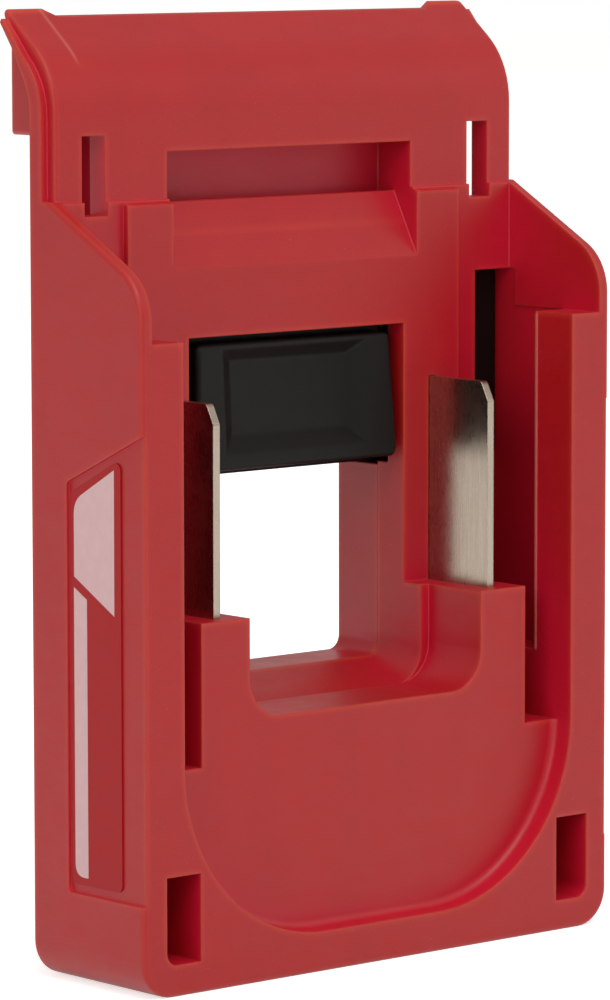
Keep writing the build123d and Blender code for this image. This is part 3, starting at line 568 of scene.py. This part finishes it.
def loose_boxes(node):
    """Lowest and highest corner of each loose solid in a piece of the frame."""
    copy = bmesh.new()
    copy.from_mesh(NODES[node].data)
    bmesh.ops.remove_doubles(copy, verts=copy.verts, dist=0.001 * MM)
    left = set(copy.verts)
    boxes = []
    while left:
        front = [left.pop()]
        spots = []
        while front:
            vertex = front.pop()
            spots.append(vertex.co)
            near = {edge.other_vert(vertex) for edge in vertex.link_edges} & left
            left -= near
            front.extend(near)
        boxes.append([
            Vector([pick(spot[axis] for spot in spots) for axis in range(3)]) for pick in (min, max)
        ])
    copy.free()
    return sorted(boxes, key=lambda box: tuple(box[0]))


# Geometry Nodes

class Graph(Wiring):
    """Geometry Nodes tree with a geometry input and output, and one named input for each size."""

    def __init__(self, name, sizes):
        super().__init__(bpy.data.node_groups.new(name, "GeometryNodeTree"))
        face = self.tree.interface
        face.new_socket("Geometry", in_out="INPUT", socket_type="NodeSocketGeometry")
        for size in sizes:
            face.new_socket(size, in_out="INPUT", socket_type="NodeSocketFloat")
        face.new_socket("Finish", in_out="INPUT", socket_type="NodeSocketMaterial")
        face.new_socket("Geometry", in_out="OUTPUT", socket_type="NodeSocketGeometry")
        self.input = self.add("NodeGroupInput")
        self.output = self.add("NodeGroupOutput")

    def given(self, name):
        return self.input.outputs[name]

    def join(self, *parts):
        """Joins pieces of geometry, the first one first."""
        node = self.add("GeometryNodeJoinGeometry")
        for part in parts:
            self.feed(node.inputs[0], part)
        return node.outputs[0]

    def finish(self, geometry):
        real = self.add("GeometryNodeRealizeInstances", {"Geometry": geometry}).outputs[0]
        painted = self.add("GeometryNodeSetMaterial", {
            "Geometry": real, "Material": self.given("Finish"),
        })
        self.feed(self.output.inputs[0], painted.outputs[0])
        return self.tree


def grow(piece, group, values):
    """Evaluates a tree on a piece and keeps the result as a plain mesh."""
    modifier = piece.modifiers.new(group.name, "NODES")
    modifier.node_group = group
    for item in group.interface.items_tree:
        if item.item_type == "SOCKET" and item.in_out == "INPUT" and item.name in values:
            modifier[item.identifier] = values[item.name]
    bpy.context.view_layer.update()
    evaluated = piece.evaluated_get(bpy.context.evaluated_depsgraph_get())
    mesh = bpy.data.meshes.new_from_object(evaluated)
    piece.modifiers.remove(modifier)
    old = piece.data
    piece.data = mesh
    bpy.data.meshes.remove(old)


def screw_group():
    """Pan head screw with a star socket on each point, its shank as long as the point says."""
    g = Graph("Cover screw", [
        "Head radius", "Head height", "Shank radius", "Socket radius", "Socket depth",
    ])
    head = g.add("GeometryNodeMeshCylinder", {
        "Vertices": 48, "Side Segments": 6, "Fill Segments": 3, "Radius": g.given("Head radius"),
        "Depth": g.given("Head height"),
    }).outputs["Mesh"]
    # The side of the head curves in towards the top
    spot = g.add("GeometryNodeInputPosition").outputs[0]
    parts = g.add("ShaderNodeSeparateXYZ", {0: spot}).outputs
    half = g.math("MULTIPLY", g.given("Head height"), 0.5)
    rise = g.math("DIVIDE", g.math("ADD", parts["Z"], half), g.given("Head height"))
    taper = g.math("MULTIPLY", g.math("POWER", rise, 3.0), 0.4)
    crown = g.math("SQRT", g.math("SUBTRACT", 1.0, taper))
    shaped = g.add("ShaderNodeCombineXYZ", {
        "X": g.math("MULTIPLY", parts["X"], crown), "Y": g.math("MULTIPLY", parts["Y"], crown),
        "Z": g.math("ADD", parts["Z"], half),
    }).outputs[0]
    head = g.add("GeometryNodeSetPosition", {"Geometry": head, "Position": shaped}).outputs[0]
    star = g.add("GeometryNodeCurveStar", {
        "Points": 6, "Inner Radius": g.math("MULTIPLY", g.given("Socket radius"), 0.72),
        "Outer Radius": g.given("Socket radius"),
    }).outputs["Curve"]
    star = g.add("GeometryNodeFilletCurve", {
        "Curve": star, "Radius": g.math("MULTIPLY", g.given("Socket radius"), 0.2), "Count": 3,
    }, mode="POLY").outputs[0]
    star = g.add("GeometryNodeFillCurve", {"Curve": star}).outputs[0]
    # The socket's cutter stands out of the head by as much as it goes in
    length = g.math("MULTIPLY", g.given("Socket depth"), 2.0)
    sides = g.add("GeometryNodeExtrudeMesh", {
        "Mesh": star, "Offset Scale": length, "Individual": False,
    }).outputs["Mesh"]
    tool = g.join(sides, g.add("GeometryNodeFlipFaces", {"Mesh": star}).outputs[0])
    tool = g.add("GeometryNodeMergeByDistance", {
        "Geometry": tool, "Distance": 0.001 * MM,
    }).outputs[0]
    low = g.math("SUBTRACT", g.given("Head height"), g.given("Socket depth"))
    lift = g.add("ShaderNodeCombineXYZ", {"Z": low}).outputs[0]
    tool = g.add("GeometryNodeTransform", {"Geometry": tool, "Translation": lift}).outputs[0]
    head = g.add("GeometryNodeMeshBoolean", {
        "Mesh 1": head, "Mesh 2": tool,
    }, operation="DIFFERENCE", solver="EXACT").outputs["Mesh"]
    shank = g.add("GeometryNodeMeshCylinder", {
        "Vertices": 28, "Radius": g.given("Shank radius"), "Depth": 1.0,
    }).outputs["Mesh"]
    shank = g.add("GeometryNodeTransform", {
        "Geometry": shank, "Translation": (0, 0, -0.5),
    }).outputs[0]
    reach = g.add("GeometryNodeInputNamedAttribute", {"Name": "shank"}, data_type="FLOAT")
    stretch = g.add("ShaderNodeCombineXYZ", {
        "X": 1.0, "Y": 1.0, "Z": reach.outputs["Attribute"],
    }).outputs[0]
    turn = (math.radians(-90), 0, 0)
    placed = [g.add("GeometryNodeInstanceOnPoints", {
        "Points": g.given("Geometry"), "Instance": part, "Rotation": turn, "Scale": scale,
    }).outputs[0] for part, scale in ((head, (1, 1, 1)), (shank, stretch))]
    return g.finish(g.join(*placed))


def wire_group():
    """Round wire along a path."""
    g = Graph("Spring wire", ["Wire radius"])
    path = g.add("GeometryNodeMeshToCurve", {"Mesh": g.given("Geometry")}).outputs[0]
    ring = g.add("GeometryNodeCurvePrimitiveCircle", {
        "Resolution": 16, "Radius": g.given("Wire radius"),
    }, mode="RADIUS").outputs["Curve"]
    tube = g.add("GeometryNodeCurveToMesh", {
        "Curve": path, "Profile Curve": ring, "Fill Caps": True,
    }).outputs[0]
    return g.finish(g.add("GeometryNodeSetShadeSmooth", {"Geometry": tube}).outputs[0])


# Operators

class ADAPTER_OT_housing(bpy.types.Operator):
    """Red moulded housing and its cover"""
    bl_idname = "adapter.housing"
    bl_label = "Housing and cover"

    def execute(self, context):
        look = context.scene.adapter_look.housing
        dress("front_housing", red_moulding("Red moulding", look))
        dress("rear_cover", red_moulding("Red moulding of the cover", look, scale=0.97, gloss=0.08))
        return {"FINISHED"}


class ADAPTER_OT_black_pieces(bpy.types.Operator):
    """Black release paddle, carrier plate and contact tray"""
    bl_idname = "adapter.black_pieces"
    bl_label = "Black pieces"

    def execute(self, context):
        look = context.scene.adapter_look.black
        dress("release_paddle", black_moulding("Black paddle", look))
        # Painted shade: a copy of the black moulding at 0.7 of its colour for the pieces deep
        # inside.
        painted_shade_black = black_moulding("Black carrier", look, scale=0.7)
        dress("latch_carrier", painted_shade_black)
        dress("contact_shroud", painted_shade_black)
        return {"FINISHED"}


class ADAPTER_OT_metal_pieces(bpy.types.Operator):
    """Blades, strips, contacts, rivets and pin"""
    bl_idname = "adapter.metal_pieces"
    bl_label = "Metal pieces"

    def execute(self, context):
        look = context.scene.adapter_look.metal
        nickel = rolled_metal(
            "Nickel plate", look.nickel, rough=0.27, stretch=(1, 1, 45), streak_depth=0.003 * MM,
            edge_radius=0.16 * MM,
        )
        brass = rolled_metal(
            "Stamped brass", look.brass, rough=0.3, stretch=(1, 40, 1), streak_depth=0.0015 * MM,
        )
        steel = rolled_metal("Bright steel", look.steel, rough=0.24, stretch=(40, 1, 1))
        for side in ("left", "right"):
            dress(f"blade_{side}", nickel)
            dress(f"rear_contact_{side}", nickel)
            dress(f"bus_strip_{side}", brass)
        dress("contact_rivets", brass)
        dress("pivot_pin", steel)
        return {"FINISHED"}


class ADAPTER_OT_screws(bpy.types.Operator):
    """Screws of the cover with their star sockets"""
    bl_idname = "adapter.screws"
    bl_label = "Cover screws"

    def execute(self, context):
        look = context.scene.adapter_look
        steel = rolled_metal("Zinc plated screw", look.metal.steel, rough=0.3)
        screws = loose_boxes("cover_screws")
        seats = [
            Vector(((low.x + high.x) / 2, high.y - look.screw.head_height, (low.z + high.z) / 2))
            for low, high in screws
        ]
        piece = new_object("screw_set", seats)
        reach = piece.data.attributes.new("shank", "FLOAT", "POINT")
        reach.data.foreach_set("value", [seat.y - low.y for seat, (low, high) in zip(seats, screws)])
        low, high = screws[0]
        grow(piece, screw_group(), {
            "Head radius": (high.x - low.x) / 2, "Head height": look.screw.head_height,
            "Shank radius": look.screw.shank_radius, "Socket radius": look.screw.socket_radius,
            "Socket depth": look.screw.socket_depth, "Finish": steel,
        })
        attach(piece, HOUSING_BODY)
        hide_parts("cover_screws")
        return {"FINISHED"}


class ADAPTER_OT_springs(bpy.types.Operator):
    """Torsion springs round the pivot pin"""
    bl_idname = "adapter.springs"
    bl_label = "Return springs"

    def path(self, look, side):
        """Points of the wire: leg in the paddle, turns round the pin, leg on the cover."""
        axis = middle("pivot_pin")
        low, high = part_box(f"return_spring_{side}")
        way = 1 if side == "right" else -1
        start = (low.x if side == "right" else high.x) + way * look.wire / 2
        steps = POINTS_PER_TURN * look.turns
        points = [Vector((start, axis.y + look.coil_radius, axis.z - look.leg_down))]
        for index in range(steps + 1):
            angle = 2 * math.pi * look.turns * index / steps
            points.append(Vector((
                start + way * look.pitch * look.turns * index / steps,
                axis.y + look.coil_radius * math.cos(angle),
                axis.z + look.coil_radius * math.sin(angle),
            )))
        end = points[-1].copy()
        end.z += look.leg_up
        points.append(end)
        return points

    def execute(self, context):
        look = context.scene.adapter_look
        steel = rolled_metal("Spring steel", look.metal.steel, rough=0.28, edge_radius=0.05 * MM)
        group = wire_group()
        for side in ("left", "right"):
            points = self.path(look.spring, side)
            steps = [(index, index + 1) for index in range(len(points) - 1)]
            piece = new_object(f"spring_wire_{side}", points, steps)
            grow(piece, group, {"Wire radius": look.spring.wire / 2, "Finish": steel})
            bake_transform(piece)
            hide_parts(f"return_spring_{side}")
        return {"FINISHED"}


class ADAPTER_OT_label(bpy.types.Operator):
    """Bare label on the left side: a crimson film with two pale fields"""
    bl_idname = "adapter.label"
    bl_label = "Label"

    def execute(self, context):
        look = context.scene.adapter_look.label
        ground = printed_film("Label ground", look.ground)
        field = printed_film("Label field", look.field)
        dress("label_left", ground)
        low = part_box("label_left")[0]
        vertices, faces = [], []
        front = low.x - look.field_height
        for shape in FIELD_SHAPES:
            shape = self.eased([(low.y + y * MM, low.z + z * MM, ease * MM) for y, z, ease in shape])
            first = len(vertices)
            vertices += [(front, y, z) for y, z in shape] + [(low.x, y, z) for y, z in shape]
            count = len(shape)
            faces.append([first + i for i in range(count)])
            faces.append([first + count + i for i in reversed(range(count))])
            for i in range(count):
                j = (i + 1) % count
                faces.append([first + j, first + i, first + count + i, first + count + j])
        piece = new_object("label_fields", vertices, faces=faces)
        piece.data.materials.append(field)
        outward = bmesh.new()
        outward.from_mesh(piece.data)
        bmesh.ops.recalc_face_normals(outward, faces=outward.faces)
        outward.to_mesh(piece.data)
        outward.free()
        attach(piece, HOUSING_BODY)
        return {"FINISHED"}

    def eased(self, corners, steps=8):
        """Outline in which an eased corner becomes a short curve."""
        points = []
        for index, (y, z, ease) in enumerate(corners):
            corner = Vector((y, z))
            if not ease:
                points.append(tuple(corner))
                continue
            ways = []
            for other in (corners[index - 1], corners[(index + 1) % len(corners)]):
                way = (Vector(other[:2]) - corner).normalized()
                ways.append(corner + way * ease)
            for step in range(steps + 1):
                share = step / steps
                near = ways[0].lerp(corner, share)
                far = corner.lerp(ways[1], share)
                points.append(tuple(near.lerp(far, share)))
        return points


class ADAPTER_OT_stage(bpy.types.Operator):
    """Pale floor, soft light and the camera"""
    bl_idname = "adapter.stage"
    bl_label = "Stage"

    def execute(self, context):
        look = context.scene.adapter_look.stage
        self.floor(context, look)
        self.world(context, look)
        self.lights(context, look)
        self.camera(context, look)
        context.scene.view_settings.view_transform = "Standard"
        return {"FINISHED"}

    def floor(self, context, look):
        half = look.floor_size / 2
        corners = [(-half, -half, 0), (half, -half, 0), (half, half, 0), (-half, half, 0)]
        floor = new_object("floor", corners, faces=[(0, 1, 2, 3)])
        t = Tree("Pale floor")
        tone = t.mix(t.noise(0.4, 3.0), rgba([0.80] * 3), rgba([0.82] * 3))
        paper = t.add("ShaderNodeBsdfDiffuse", {"Color": tone, "Roughness": 0.4}).outputs[0]
        glow = t.add("ShaderNodeEmission", {"Color": WHITE, "Strength": look.floor_glow}).outputs[0]
        ray = t.add("ShaderNodeLightPath").outputs
        seen = t.math("MAXIMUM", ray["Is Camera Ray"], ray["Is Glossy Ray"])
        seen = t.math("MAXIMUM", seen, ray["Is Transmission Ray"])
        both = t.add("ShaderNodeAddShader", {0: paper, 1: glow}).outputs[0]
        t.either(seen, paper, both, t.output.inputs["Surface"])
        floor.data.materials.append(t.material)

    def world(self, context, look):
        """Soft light from all round, less from the unlit side; the camera sees white."""
        world = bpy.data.worlds.new("Studio")
        context.scene.world = world
        world.use_nodes = True
        world.node_tree.nodes.clear()
        w = Wiring(world.node_tree)
        way = w.add("ShaderNodeTexCoord").outputs["Generated"]
        unlit = Vector(look.dark_side).normalized()
        aim = w.add("ShaderNodeVectorMath", {0: way, 1: unlit}, operation="DOT_PRODUCT")
        level = w.span(
            aim.outputs["Value"], look.dark_edge, look.dark_core, look.world_level, look.dark_level
        )
        soft = {"Color": rgba(look.light_colour), "Strength": level}
        plain = w.add("ShaderNodeBackground", soft).outputs[0]
        white = w.add("ShaderNodeBackground", {"Color": WHITE, "Strength": 1.0}).outputs[0]
        seen = w.add("ShaderNodeLightPath").outputs["Is Camera Ray"]
        w.either(seen, plain, white, w.add("ShaderNodeOutputWorld").inputs["Surface"])

    def lights(self, context, look):
        """Large soft boxes: one above and in front, one from each side, one overhead."""
        for name, place, width, power in SOFT_BOXES:
            light = bpy.data.lights.new(name, "AREA")
            light.size = width
            light.energy = power
            light.color = look.light_colour
            lamp = bpy.data.objects.new(name, light)
            lamp.location = place
            lamp.rotation_euler = (LIT_SPOT - Vector(place)).to_track_quat("-Z", "Y").to_euler()
            context.scene.collection.objects.link(lamp)

    def camera(self, context, look):
        data = bpy.data.cameras.new("camera")
        data.lens = look.lens
        data.clip_start = 0.01
        data.clip_end = 50
        camera = bpy.data.objects.new("camera", data)
        turn = (
            Matrix.Rotation(-look.yaw, 4, "Z") @ Matrix.Rotation(math.pi / 2 - look.pitch, 4, "X")
            @ Matrix.Rotation(-look.roll, 4, "Z")
        )
        camera.matrix_world = Matrix.Translation(look.camera_place) @ turn
        context.scene.collection.objects.link(camera)
        context.scene.camera = camera


class ADAPTER_PT_panel(bpy.types.Panel):
    bl_idname = "ADAPTER_PT_panel"
    bl_label = "Tool battery adapter"
    bl_space_type = "VIEW_3D"
    bl_region_type = "UI"
    bl_category = "Adapter"

    def draw(self, context):
        for step in STEPS:
            self.layout.operator(step.bl_idname)


STEPS = (
    ADAPTER_OT_housing,
    ADAPTER_OT_black_pieces,
    ADAPTER_OT_metal_pieces,
    ADAPTER_OT_screws,
    ADAPTER_OT_springs,
    ADAPTER_OT_label,
    ADAPTER_OT_stage,
)
CLASSES = (
    HousingLook, BlackLook, MetalLook, LabelLook, SpringLook, ScrewLook, StageLook, AdapterLook,
    *STEPS, ADAPTER_PT_panel,
)


def register():
    for item in CLASSES:
        bpy.utils.register_class(item)
    bpy.types.Scene.adapter_look = PointerProperty(type=AdapterLook)


def unregister():
    del bpy.types.Scene.adapter_look
    for item in reversed(CLASSES):
        bpy.utils.unregister_class(item)


def main():
    register()
    for step in STEPS:
        group, name = step.bl_idname.split(".")
        getattr(getattr(bpy.ops, group), name)()


if __name__ == "__main__":
    main()
